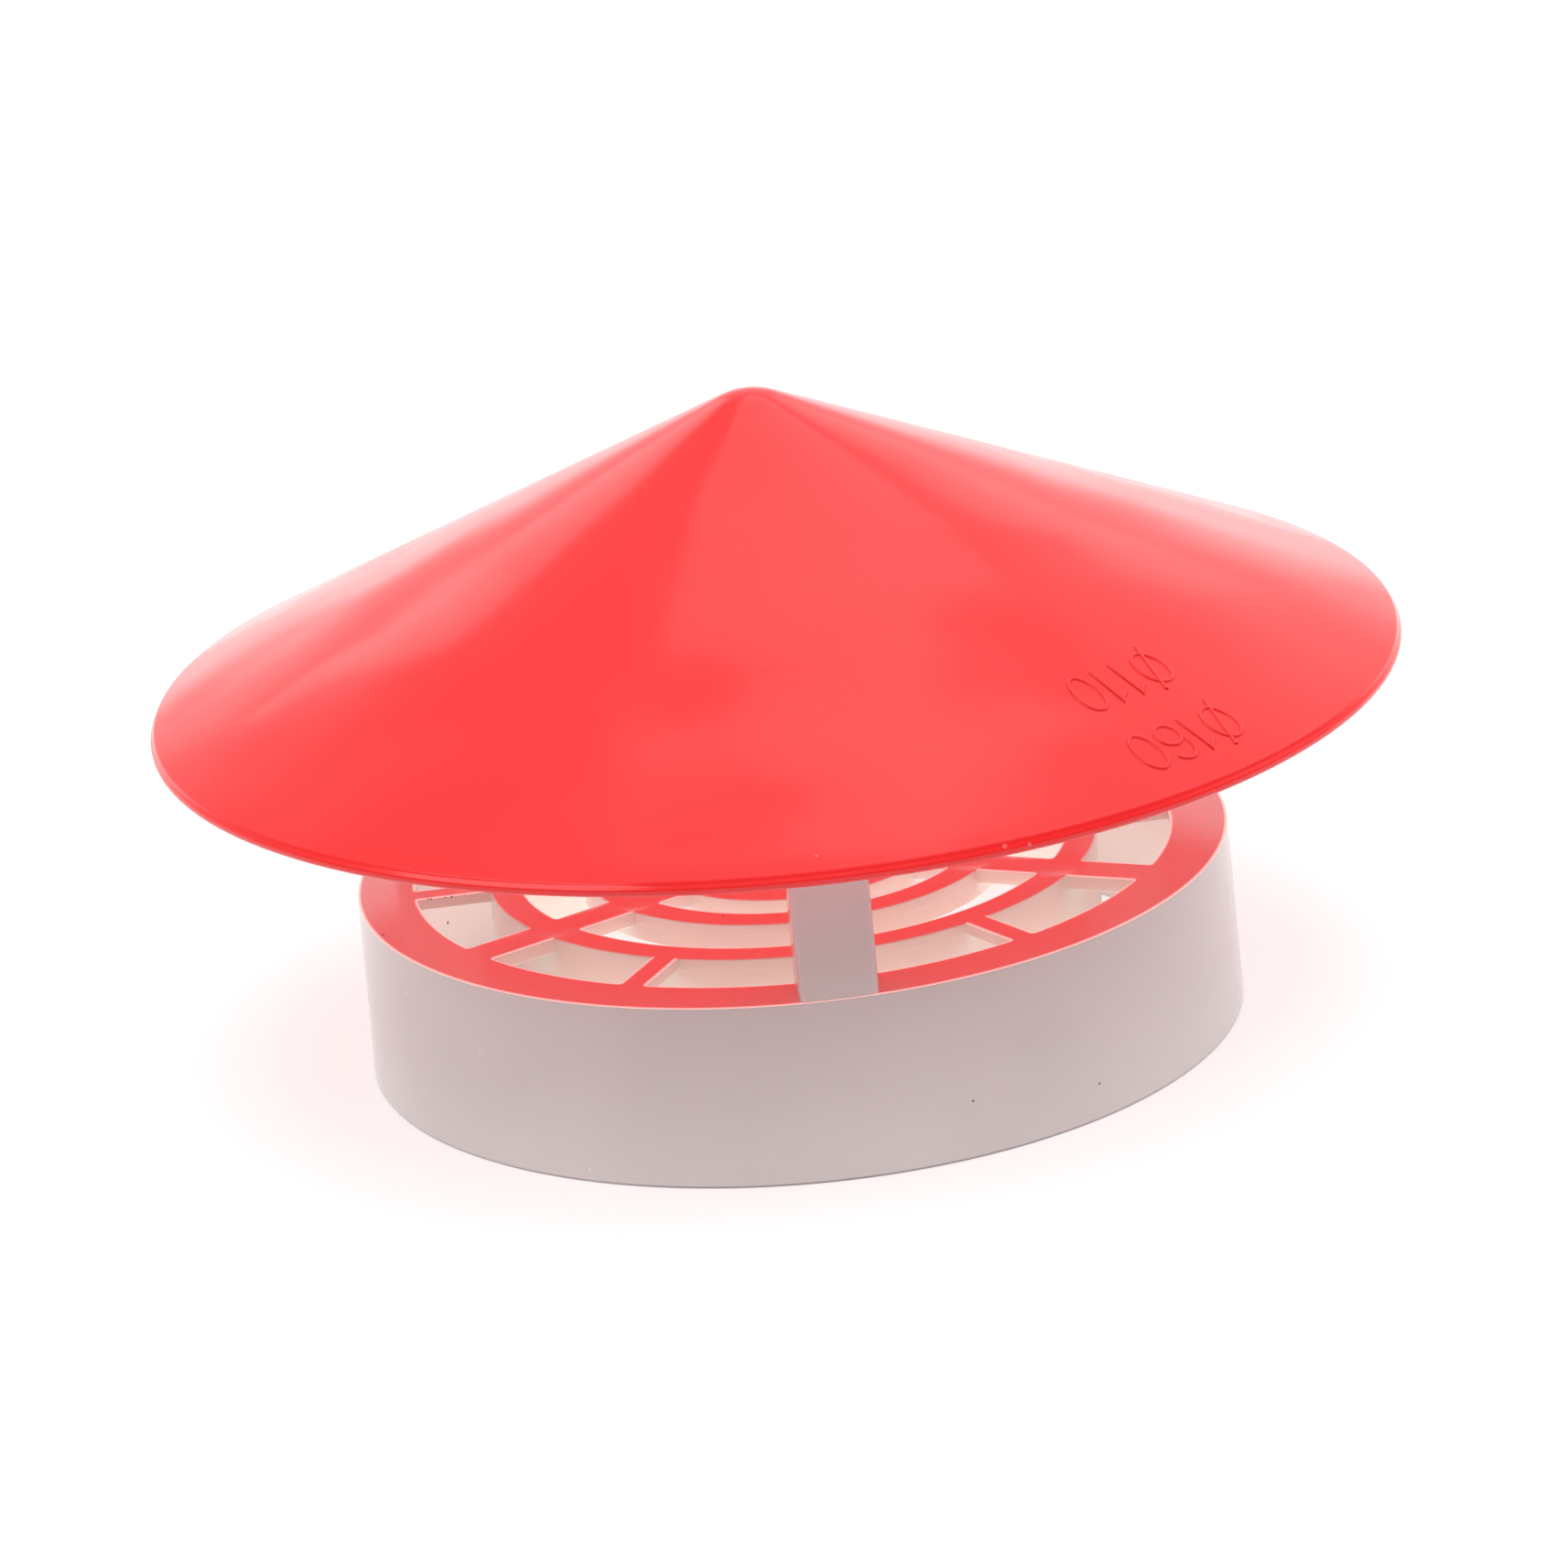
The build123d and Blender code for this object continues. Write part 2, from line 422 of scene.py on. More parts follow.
def clouded(tree, place, colour, scale, dark, light):
    """Colour that drifts between two shades in soft clouds."""
    cloud = ramp(tree, noise(tree, place, scale, detail=3.0), *CLOUD_RANGE)
    return blend(tree, cloud, shade(colour, dark), shade(colour, light))


def mottled(tree, place, scale, low, high):
    """Roughness that drifts between two levels."""
    return ramp(tree, noise(tree, place, scale, detail=4.0), *MOTTLE_RANGE, low, high)


def bumped(tree, height, strength, depth, **normal):
    """Normal of a bump, over another normal where one is given."""
    inputs = {"Strength": strength, "Distance": depth, "Height": height, **normal}
    return node(tree, "ShaderNodeBump", inputs).outputs[0]


def wire(tree, shader, **values):
    """Links values to a shader's inputs, each by its name."""
    for name, value in values.items():
        tree.links.new(value, shader.inputs[name.replace("_", " ")])


# Small marks by radius in millimetres, angle in degrees, and height and size in millimetres: brown specks
# and burrs, pale specks, and nicks on the rim
BROWN_SPECKS = (
    (36.0, -117.0, 35.0, 0.32), (80.0, 144.6, 12.0, 0.5), (83.4, -74.3, 11.2, 0.3), (83.4, -55.6, 7.0, 0.3),
    (81.7, -166.3, 35.0, 0.45), (69.9, -178.0, 35.0, 0.4), (69.3, -178.0, 34.9, 0.35),
    (66.6, -177.9, 34.8, 0.25), (65.4, -177.8, 34.8, 0.3), (63.0, -177.7, 34.9, 0.22),
)
PALE_SPECKS = ((83.1, -157.0, 27.8, 0.45), (83.2, -141.1, 22.0, 0.35), (83.5, -124.8, 2.6, 0.4))
RIM_NICKS = ((118.0, -75.8, 71.7, 0.6), (118.2, -73.6, 71.0, 0.5), (114.1, -92.1, 74.0, 0.35))

# Bands inside the hood's rim and the collar's top edge over which a painted glow fades in, in place of light
# in the plastic
RIM_GLOW_BAND = (1.9 * MM, 0.9 * MM)
COLLAR_GLOW_BAND = (0.7 * MM, 0.4 * MM)

# Upward part of a normal, and height, over which the base's top faces take a painted red that stands in for
# the hood's red light
TOP_FACING = (0.2, 0.6)
TOP_HEIGHT = (33.5 * MM, 34.2 * MM)

# Base's specular level
BASE_SPECULAR = 0.8


def spotted(tree, place, colour, spots, stain):
    """Colour with small stains at given places."""
    for radius, turn, height, size in spots:
        spot = (*polar(radius * MM, radians(turn)), height * MM)
        gap = node(tree, "ShaderNodeVectorMath", {0: place, 1: spot}, operation="DISTANCE").outputs["Value"]
        share = ramp(tree, gap, size * MM / 2, size * MM, 1.0, 0.0)
        colour = blend(tree, share, colour, solid(stain))
    return colour


def from_axis(tree, place):
    """Distance of a place from the cap's axis."""
    level = node(tree, "ShaderNodeVectorMath", {0: place, 1: (1, 1, 0)}, operation="MULTIPLY").outputs[0]
    return node(tree, "ShaderNodeVectorMath", {0: level}, operation="LENGTH").outputs["Value"]


def hood_plastic():
    """Gloss red plastic with slow moulding waves, a fine grain and a painted red glow on the rim."""
    made, tree, shader = material("hood_red_plastic")
    finish = settings("finish")
    red = finish.hood_red
    place = node(tree, "ShaderNodeTexCoord").outputs["Object"]
    colour = clouded(tree, place, red, scale=18.0, dark=0.97, light=1.03)
    colour = spotted(tree, place, colour, RIM_NICKS, finish.nick_pink)
    rim = settings("hood").rim_radius
    # Painted glow: the rim's outer band glows red to brighten it
    edge = ramp(tree, from_axis(tree, place), rim - RIM_GLOW_BAND[0], rim - RIM_GLOW_BAND[1])
    glow = calc(tree, "MULTIPLY", edge, finish.painted_rim_glow)
    shader.inputs["Emission Color"].default_value = solid(red)
    rough = mottled(tree, place, scale=60.0, low=0.13, high=0.18)
    waves = bumped(tree, noise(tree, place, scale=22.0, detail=1.0), strength=1.0, depth=1.6 * MM)
    fine = noise(tree, place, scale=1500.0, detail=2.0)
    grain = bumped(tree, fine, strength=0.15, depth=0.02 * MM, Normal=waves)
    wire(tree, shader, Base_Color=colour, Emission_Strength=glow, Roughness=rough, Normal=grain)
    return made


def base_plastic():
    """Satin white plastic, with painted red light from the hood on its top faces and a painted glow along
    their edges.
    """
    made, tree, shader = material("base_white_plastic")
    finish = settings("finish")
    coords = node(tree, "ShaderNodeTexCoord")
    place = coords.outputs["Object"]
    plain = clouded(tree, place, finish.base_white, scale=22.0, dark=0.97, light=1.02)
    facing = node(tree, "ShaderNodeSeparateXYZ", {0: coords.outputs["Normal"]}).outputs["Z"]
    height = node(tree, "ShaderNodeSeparateXYZ", {0: place}).outputs["Z"]
    # Painted red light: the top faces under the hood take a pink-red colour for the hood's red light
    top = calc(tree, "MULTIPLY", ramp(tree, facing, *TOP_FACING), ramp(tree, height, *TOP_HEIGHT))
    edge = BASE_HIGH.x - settings("base").taper
    collar = ramp(tree, from_axis(tree, place), edge - COLLAR_GLOW_BAND[0], edge - COLLAR_GLOW_BAND[1])
    # Painted glow: beside the openings and along the collar's edge the painted red gives way to a cream
    # emission
    opening = node(tree, "ShaderNodeAttribute", attribute_name=EDGE_MARK).outputs["Fac"]
    painted_glow_share = calc(tree, "MAXIMUM", opening, collar)
    painted_red_share = calc(tree, "MULTIPLY", top, calc(tree, "SUBTRACT", 1.0, painted_glow_share))
    colour = blend(tree, painted_red_share, plain, solid(finish.glow_red))
    colour = spotted(tree, place, colour, BROWN_SPECKS, finish.speck_brown)
    colour = spotted(tree, place, colour, PALE_SPECKS, finish.speck_pale)
    glow = calc(tree, "MULTIPLY", calc(tree, "MULTIPLY", painted_glow_share, top), finish.edge_glow)
    shader.inputs["Emission Color"].default_value = solid(finish.painted_edge_cream)
    rough = mottled(tree, place, scale=80.0, low=0.12, high=0.16)
    shader.inputs["Specular IOR Level"].default_value = BASE_SPECULAR
    grain = bumped(tree, noise(tree, place, scale=900.0, detail=3.0), strength=0.2, depth=0.03 * MM)
    wire(tree, shader, Base_Color=colour, Emission_Strength=glow, Roughness=rough, Normal=grain)
    return made


# Floor in metres: up to the near distance from the axis it keeps its shadow, from the far one it is white
FLOOR_NEAR = 0.7
FLOOR_FAR = 1.5
FLOOR_RADIUS = 6.0
FLOOR_SEGMENTS = 96
FLOOR_ROUGHNESS = 0.9


def floor_finish():
    """Pale floor that keeps the shadow and reads as white where it is lit."""
    made, tree, shader = material("floor_white")
    finish = settings("finish")
    shader.inputs["Base Color"].default_value = solid(finish.floor_white)
    shader.inputs["Roughness"].default_value = FLOOR_ROUGHNESS
    shader.inputs["Specular IOR Level"].default_value = 0.0
    path = node(tree, "ShaderNodeLightPath")
    seen = calc(tree, "MAXIMUM", path.outputs["Is Camera Ray"], path.outputs["Is Glossy Ray"])
    seen = calc(tree, "MAXIMUM", seen, path.outputs["Is Transmission Ray"])
    shader.inputs["Emission Color"].default_value = (1, 1, 1, 1)
    far = from_axis(tree, node(tree, "ShaderNodeTexCoord").outputs["Object"])
    glow = ramp(tree, far, FLOOR_NEAR, FLOOR_FAR, finish.floor_glow, 1.0)
    wire(tree, shader, Emission_Strength=calc(tree, "MULTIPLY", seen, glow))
    return made


# Hood


# Steps along the hood's outline: counts on its bends, and greatest lengths on its straight parts
TIP_STEPS = 10
BEND_STEPS = 6
EDGE_STEPS = 10
INNER_EDGE_STEPS = 5
BORE_STEPS = 8
CONE_STEP = 5 * MM
SINK_STEP = 0.55 * MM
BORE_STEP = 8 * MM

# Sink mark over a socket's tongue, by half depth, half width and corner, and half width of a mark's line
TONGUE_SINK = (1.6 * MM, 3.4 * MM, 0.8 * MM)
SINK_LINE = 0.9 * MM


def spread(first, last, steps):
    """Even values from a first to a last one."""
    return [first + (last - first) * i / steps for i in range(steps + 1)]


def arc(centre, radius, first, last, steps):
    """Points on an arc in the XZ plane, by angle from +X."""
    turns = spread(first, last, steps)
    return [(centre[0] + radius * cos(a), centre[1] + radius * sin(a)) for a in turns]


def straight(first, last, longest):
    """Points between two ends, the ends left out, at most the longest step apart."""
    gap = sqrt((last[0] - first[0]) ** 2 + (last[1] - first[1]) ** 2)
    count = max(1, ceil(gap / longest))
    return [
        (first[0] + (last[0] - first[0]) * i / count, first[1] + (last[1] - first[1]) * i / count)
        for i in range(1, count)
    ]


def apex_height():
    """Height where the cone's sides would meet."""
    hood = settings("hood")
    return HOOD_LOW.z + hood.rim_height + hood.rim_radius * tan(hood.slope)


def hood_outline():
    """Closed outline of the hood from the tip, down over the rim and back under the cone."""
    hood = settings("hood")
    socket = settings("socket")
    s = hood.slope
    apex = apex_height()
    tip = (0.0, apex - hood.tip_round / cos(s))
    turn = pi / 2 - s
    top = arc(tip, hood.tip_round, pi / 2, turn, TIP_STEPS)
    bend = hood.rim_top_round
    edge = hood.rim_edge_round
    low = HOOD_LOW.z + edge
    bend_x = hood.rim_radius - hood.rim_step
    shoulder = apex - bend / cos(s) - bend_x * tan(s)
    rim_top = arc((bend_x, shoulder), bend, turn, hood.rim_lean, BEND_STEPS)
    lower = arc((hood.rim_radius - edge, low), edge, hood.step_lean, -pi / 2, EDGE_STEPS)
    inner_x = hood.rim_radius - hood.rim_width
    lower += arc((inner_x + edge, low), edge, -pi / 2, -pi, INNER_EDGE_STEPS)
    drop = hood.wall / cos(s)
    inside = (inner_x, apex - drop - inner_x * tan(s))
    bore = arc(tip, hood.tip_round - hood.wall, turn, pi / 2, BORE_STEPS)

    def on_cone(radius):
        return (radius, apex - radius * tan(s))

    sunk = socket.depth
    zone = (on_cone(socket.middle - sunk), on_cone(socket.middle + sunk))
    points = top
    points += straight(top[-1], zone[0], CONE_STEP) + [zone[0]]
    points += straight(zone[0], zone[1], SINK_STEP) + [zone[1]]
    points += straight(zone[1], rim_top[0], CONE_STEP)
    points += rim_top + lower + [inside]
    points += straight(inside, bore[0], BORE_STEP) + bore
    points[0] = (0.0, points[0][1])
    points[-1] = (0.0, points[-1][1])
    return [(x, 0.0, z) for x, z in points]


def groove(gap, width):
    """Share of full depth at a distance from the middle of a sink mark's line."""
    return 1 / (1 + (gap / width) ** 4)


def rounded_gap(x, y, half_x, half_y, corner):
    """Distance from a rounded rectangle's edge, negative inside."""
    over_x = abs(x) - half_x + corner
    over_y = abs(y) - half_y + corner
    outside = sqrt(max(over_x, 0) ** 2 + max(over_y, 0) ** 2)
    return outside + min(max(over_x, over_y), 0) - corner


def sink_marks(mesh):
    """Lowers the hood's outside a little over the wall and the tongue of each leg socket."""
    hood = settings("hood")
    socket = settings("socket")
    apex = apex_height()
    normal = Vector((sin(hood.slope), 0, cos(hood.slope)))
    grow = socket.clearance + socket.wall / 2
    turns = [Matrix.Rotation(-turn, 3, "Z") for turn in LEG_TURNS]
    for vertex in mesh.vertices:
        radius = vertex.co.xy.length
        if abs(radius - socket.middle) > 2 * socket.depth:
            continue
        if vertex.co.z < apex - radius * tan(hood.slope) - hood.wall / 2:
            continue
        for turn in turns:
            local = turn @ vertex.co
            along = local.x - socket.middle
            if abs(along) > socket.depth or abs(local.y) > socket.width:
                continue
            half_x = socket.depth / 2 + grow
            half_y = socket.width / 2 + grow
            wall = rounded_gap(along, local.y, half_x, half_y, socket.corner)
            tongue = rounded_gap(along, local.y, *TONGUE_SINK)
            share = groove(wall, SINK_LINE) + groove(max(tongue, 0), SINK_LINE)
            vertex.co -= turn.transposed() @ (normal * (hood.sink_depth * share))


def rounded_plan(depth, width, corner, steps=5):
    """Points of a rounded rectangle, in order, round the origin."""
    points = []
    for number, (sx, sy) in enumerate(CORNERS):
        cx = sx * (depth / 2 - corner)
        cy = sy * (width / 2 - corner)
        for i in range(steps + 1):
            a = (number + i / steps) * pi / 2
            points.append((cx + corner * cos(a), cy + corner * sin(a)))
    return points


def ring_solid(work, loops, closed):
    """Faces between loops of points; the ends are capped, or joined where the section is closed."""
    rows = [[work.verts.new(p) for p in loop] for loop in loops]
    pairs = list(zip(rows, rows[1:])) + ([(rows[-1], rows[0])] if closed else [])
    for low, high in pairs:
        for i in range(len(low)):
            j = (i + 1) % len(low)
            work.faces.new((low[i], low[j], high[j], high[i]))
    if not closed:
        work.faces.new(rows[0])
        work.faces.new(rows[-1])


def closed_piece(name, work):
    """Object from a closed working mesh, with every face turned outwards."""
    bmesh.ops.recalc_face_normals(work, faces=work.faces)
    mesh = bpy.data.meshes.new(name)
    work.to_mesh(mesh)
    work.free()
    return shown(name, mesh)


def socket_form():
    """One leg socket along +X, with the tongue that enters the leg."""
    hood = settings("hood")
    size = settings("socket")
    apex = apex_height() - hood.wall / cos(hood.slope) / 2
    low = size.leg_top - size.reach
    lip = size.lip
    tight = size.inner_corner

    def loop(growth, corner, height=None):
        plan = rounded_plan(size.depth + 2 * growth, size.width + 2 * growth, corner)
        points = []
        for x, y in plan:
            x += size.middle
            top = apex - sqrt(x * x + y * y) * tan(hood.slope)
            points.append((x, y, top if height is None else height))
        return points

    outer = size.clearance + size.wall
    work = bmesh.new()
    ring_solid(work, [
        loop(outer, size.corner),
        loop(outer, size.corner, low + lip),
        loop(outer - lip, size.corner - lip, low),
        loop(size.clearance + lip, tight + lip, low),
        loop(size.clearance, tight, low + lip),
        loop(size.clearance, tight, size.leg_top),
        loop(-size.ledge, tight, size.leg_top),
        loop(-size.ledge, tight),
    ], True)
    slim = -settings("base").leg_wall - size.clearance
    ring_solid(work, [loop(slim, tight), loop(slim, tight, size.leg_top - size.tongue)], False)
    return closed_piece("socket_form", work)


def outward(mesh):
    """Turns every face of a closed mesh outwards."""
    work = bmesh.new()
    work.from_mesh(mesh)
    bmesh.ops.recalc_face_normals(work, faces=work.faces)
    work.to_mesh(mesh)
    work.free()


def joined(piece, other):
    """Unites another closed piece with this one."""
    union = piece.modifiers.new("union", "BOOLEAN")
    union.operation = "UNION"
    union.solver = "MANIFOLD"
    union.object = other
    graph = bpy.context.evaluated_depsgraph_get()
    mesh = bpy.data.meshes.new_from_object(piece.evaluated_get(graph))
    piece.modifiers.remove(union)
    bpy.data.objects.remove(other)
    piece.data = mesh


class RAINCAP_OT_hood(bpy.types.Operator):
    """Build the conical hood with its leg sockets"""

    bl_idname = "raincap.hood"
    bl_label = "Hood"

    def execute(self, context):
        plastic = hood_plastic()
        outline = line_mesh("hood_outline", hood_outline())
        steps = settings("hood").segments
        hood = grown(outline, lathe_tree(), "red_hood", Segments=steps, Material=plastic)
        outward(hood.data)
        sink_marks(hood.data)
        sockets = grown(
            socket_form(), round_tree(), "leg_sockets", Count=LEG_COUNT, First_angle=FIRST_LEG,
            Material=plastic
        )
        joined(hood, sockets)
        hood.data.set_sharp_from_angle(angle=SHARP_ANGLE)
        settle(hood, HOOD_SLOT, "rain_hood")
        return {"FINISHED"}


# Raised numbers


def ellipse(centre_x, centre_y, half_x, half_y, steps=28):
    """Closed stroke round an ellipse."""
    turns = [2 * pi * i / steps for i in range(steps)]
    return [(centre_x + half_x * cos(a), centre_y + half_y * sin(a)) for a in turns], True


def open_arc(centre_x, centre_y, half_x, half_y, first, last, steps=14):
    """Open stroke along part of an ellipse, by degrees."""
    turns = map(radians, spread(first, last, steps))
    return [(centre_x + half_x * cos(a), centre_y + half_y * sin(a)) for a in turns], False


def glyph_strokes(sign):
    """Strokes of one sign, one unit high, with its width. D stands for the diameter sign."""
    if sign == "0":
        return [ellipse(0.29, 0.5, 0.27, 0.5)], 0.58
    if sign == "1":
        return [([(0.30, 0.0), (0.30, 1.0), (0.24, 0.90), (0.08, 0.80)], False)], 0.42
    if sign == "6":
        hook = open_arc(0.32, 0.62, 0.28, 0.38, 35, 180)[0] + [(0.04, 0.45), (0.05, 0.28)]
        return [ellipse(0.31, 0.28, 0.26, 0.28), (hook, False)], 0.62
    slash = ([(0.10, -0.12), (0.62, 1.12)], False)
    return [ellipse(0.36, 0.5, 0.33, 0.46), slash], 0.74


def stroke_curve(text, height, gap):
    """Flat curve object of a row of signs."""
    data = bpy.data.curves.new("strokes", "CURVE")
    data.dimensions = "3D"
    along = 0.0
    for sign in text:
        strokes, width = glyph_strokes(sign)
        for points, closed in strokes:
            spline = data.splines.new("POLY")
            spline.points.add(len(points) - 1)
            spline.use_cyclic_u = closed
            for point, (x, y) in zip(spline.points, points):
                point.co = (along + x * height, y * height, 0.0, 1.0)
        along += width * height + gap
    return shown("strokes", data)


class RAINCAP_OT_marks(bpy.types.Operator):
    """Build the raised pipe-size numbers on the hood"""

    bl_idname = "raincap.marks"
    bl_label = "Size marks"

    # Signs, low radius, high radius, and degrees from the front leg to the row's start
    ROWS = (("D110", 87.0 * MM, 95.5 * MM, 46.0), ("D160", 103.0 * MM, 111.6 * MM, 45.0))

    def execute(self, context):
        hood = settings("hood")
        marks = settings("marks")
        tree = bead_tree()
        plastic = bpy.data.materials["hood_red_plastic"]
        sunk = (marks.stroke / 2 - marks.height) / cos(hood.slope)
        for text, low, high, start in self.ROWS:
            height = (high - low) / cos(hood.slope)
            strokes = stroke_curve(text, height, marks.gap)
            piece = grown(
                strokes, tree, "size_mark_" + text[1:], Start_angle=FIRST_LEG + radians(start),
                Base_radius=low, Wrap_radius=(low + high) / 2, Apex=apex_height() - sunk,
                Slope=hood.slope, Bead_radius=marks.stroke / 2, Material=plastic
            )
            outward(piece.data)
            settle(piece, HOOD_SLOT)
        return {"FINISHED"}


# Base


# Greatest step round an opening, flat margin beside a rounding, rounding of hidden edges, rounding of the
# collar's top edge, steps round the collar, and bevel under a rib
ARC_STEP = 1.6 * MM
EDGE_PAD = 0.05 * MM
FINE_ROUND = 0.1 * MM
COLLAR_EDGE = 0.2 * MM
COLLAR_STEPS = 288
RIB_BEVEL = 0.25 * MM

# Chamfer inside the collar's mouth, rounding outside it, and shares of the collar's height that get a row
MOUTH_CHAMFER = 0.8 * MM
MOUTH_ROUND = 0.4 * MM
SKIRT_SHARES = (0.01, 0.25, 0.5, 0.75, 0.99)

# Point attribute that is 1 on the walls and edges of the openings, apart from the rings' outer edges; the
# base's painted edge glow follows it
EDGE_MARK = "opening_edge"


def socket_bore(name):
    """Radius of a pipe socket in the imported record."""
    mount = next(m for m in frame["record"]["mounts"] if m["name"] == name)
    return mount["dims"]["r_mm"] * MM


def polar(radius, angle):
    """Level point at a radius and an angle."""
    return Vector((radius * cos(angle), radius * sin(angle)))


def quarter(steps):
    """Even angles from nothing to a right angle."""
    return spread(0, pi / 2, steps)


def corner_arc(centre, corner, first, last, steps=4):
    """Points round a corner, each with its outward direction."""
    return [(centre + polar(corner, a), polar(1, a)) for a in spread(first, last, steps)]


def ring_arc(radius, first, last, facing):
    """Points on a circle about Z between two angles, each with its outward direction."""
    count = max(2, ceil(abs(last - first) * radius / ARC_STEP))
    turns = spread(first, last, count)[1:-1]
    return [(polar(radius, a), polar(facing, a)) for a in turns]


def spun(points, turn):
    """Plan turned about Z, with its outward directions."""
    spin = Matrix.Rotation(turn, 2)
    return [(spin @ point, spin @ facing) for point, facing in points]


def opening_outline(first, last, low, high):
    """Plan of one opening between two ribs, each given by its angle and half width."""
    corner = settings("base").corner_round
    first_turn, first_half = first
    last_turn, last_half = last

    def lean(half, radius):
        return asin((half + corner) / radius)

    far = high - corner
    start = first_turn + lean(first_half, far)
    stop = last_turn - lean(last_half, far)
    points = corner_arc(polar(far, start), corner, first_turn - pi / 2, start)
    points += ring_arc(high, start, stop, 1)
    points += corner_arc(polar(far, stop), corner, stop, last_turn + pi / 2)
    if low > 0:
        near = low + corner
        back = last_turn - lean(last_half, near)
        home = first_turn + lean(first_half, near)
        points += corner_arc(polar(near, back), corner, last_turn + pi / 2, back + pi)
        points += ring_arc(low, back, home, -1)
        points += corner_arc(polar(near, home), corner, home + pi, first_turn + 3 * pi / 2)
    else:
        spread = (last_turn - first_turn) / 2
        tip = polar((first_half + corner) / sin(spread), first_turn + spread)
        points += corner_arc(tip, corner, last_turn + pi / 2, first_turn + 3 * pi / 2)
    return points


def grille_radii():
    """Radii of the grille's rows of openings, from the outside in."""
    base = settings("base")
    collar = BASE_HIGH.x - base.taper
    small = socket_bore("small_pipe_socket")
    inner = small - base.stop_lip
    ring = inner - base.inner_slot
    centre = ring - base.ring_width
    centre_ring = centre - base.centre_slot
    return [
        (small + base.socket_wall, collar - base.rim_band),
        (ring, inner),
        (centre_ring, centre),
        (0.0, centre_ring - base.ring_width),
    ]


def main_ribs():
    """Angle and half width of each rib that runs to the centre."""
    half = settings("base").main_rib / 2
    return [(FIRST_LEG + (2 * i + 1) * pi / LEG_COUNT, half) for i in range(LEG_COUNT)]


def grille_openings():
    """Plans of every opening of the grille."""
    base = settings("base")
    main = main_ribs()
    minor = [(turn + side * base.minor_turn, base.minor_rib / 2) for turn, _ in main for side in (-1, 1)]
    outlines = []
    for number, (low, high) in enumerate(grille_radii()):
        ribs = main if number else sorted(main + minor)
        again = (ribs[0][0] + 2 * pi, ribs[0][1])
        outlines += [opening_outline(a, b, low, high) for a, b in zip(ribs, ribs[1:] + [again])]
    return outlines


def leg_outline(turn):
    """Plan of one leg, its outer side on a circle about Z."""
    leg = settings("socket")
    base = settings("base")
    corner = base.leg_round
    half = leg.width / 2 - corner
    behind_edge = base.edge_round + base.edge_line + 2 * EDGE_PAD
    inner = leg.middle - leg.depth / 2 + behind_edge + corner
    rim = leg.middle + leg.depth / 2
    lean = asin(half / (rim - corner))
    points = corner_arc(Vector((inner, half)), corner, pi / 2, pi)
    points += corner_arc(Vector((inner, -half)), corner, pi, 3 * pi / 2)
    points += corner_arc(polar(rim - corner, -lean), corner, -pi / 2, -lean)
    points += ring_arc(rim, -lean, lean, 1)
    points += corner_arc(polar(rim - corner, lean), corner, lean, pi / 2)
    return spun(points, turn)


def hollow_outline(turn):
    """Plan of the hollow in one leg."""
    leg = settings("socket")
    wall = settings("base").leg_wall
    half_x = leg.depth / 2 - wall
    half_y = leg.width / 2 - wall
    corner = settings("base").corner_round
    points = []
    for number, (x, y) in enumerate(CORNERS):
        centre = Vector((leg.middle + x * (half_x - corner), y * (half_y - corner)))
        points += corner_arc(centre, corner, number * pi / 2, (number + 1) * pi / 2)
    return spun(points, turn)


def opening_rows(edge, top, low):
    """Growth and height of each row from a top face, over its edge and down an opening's wall."""
    rows = [(edge + EDGE_PAD + settings("base").edge_line, top), (edge + EDGE_PAD, top)]
    rows += [(edge * (1 - sin(a)), top - edge * (1 - cos(a))) for a in quarter(4)]
    rows += [(0, top - edge - EDGE_PAD), (0, low + FINE_ROUND + EDGE_PAD)]
    rows += [(FINE_ROUND * (1 - cos(a)), low + FINE_ROUND * (1 - sin(a))) for a in quarter(2)]
    rows += [(FINE_ROUND + EDGE_PAD, low)]
    return rows


def leg_rows(low, top):
    """Growth and height of each row up a leg's outside and on to its top."""
    edge = settings("base").edge_round
    rows = [(0, low), (0, low + EDGE_PAD), (0, top - edge - EDGE_PAD)]
    rows += [(-edge * (1 - cos(a)), top - edge * (1 - sin(a))) for a in quarter(3)]
    rows += [(-edge - EDGE_PAD, top)]
    return rows


def skirt_rows():
    """Radius and height of each row from the top band, down the collar and up inside it."""
    base = settings("base")
    bore = socket_bore("large_pipe_socket")
    mouth = BASE_HIGH.x
    top = mouth - base.taper
    shoulder = base.height - COLLAR_EDGE
    lip = MOUTH_ROUND
    rows = [(top - COLLAR_EDGE - EDGE_PAD, base.height)]
    for a in quarter(3):
        rows.append((top - COLLAR_EDGE * (1 - sin(a)), base.height - COLLAR_EDGE * (1 - cos(a))))
    for share in SKIRT_SHARES:
        rows.append((top + base.taper * share, shoulder + (lip - shoulder) * share))
    rows += [(mouth - lip * (1 - cos(a)), lip * (1 - sin(a))) for a in quarter(4)]
    rows += [(bore + MOUTH_CHAMFER, 0), (bore, MOUTH_CHAMFER), (bore, base.land)]
    rows.append((top - (mouth - bore), base.height - base.plate))
    return rows


def walled(work, outline, rows, mark=None):
    """Wall of quads along a plan through rows of growth and height; gives its first and last loops.

    A mark is set on every row past the first, apart from where the plan faces the axis.
    """
    loops = []
    for growth, height in rows:
        level = [point + facing * growth for point, facing in outline]
        loops.append([work.verts.new((p.x, p.y, height)) for p in level])
    if mark:
        for loop in loops[1:]:
            for vertex, (point, facing) in zip(loop, outline):
                vertex[mark] = float(facing.dot(point) > -point.length / 2)
    for upper, lower in zip(loops, loops[1:]):
        for i in range(len(upper)):
            work.faces.new((upper[i - 1], upper[i], lower[i], lower[i - 1]))
    return loops[0], loops[-1]


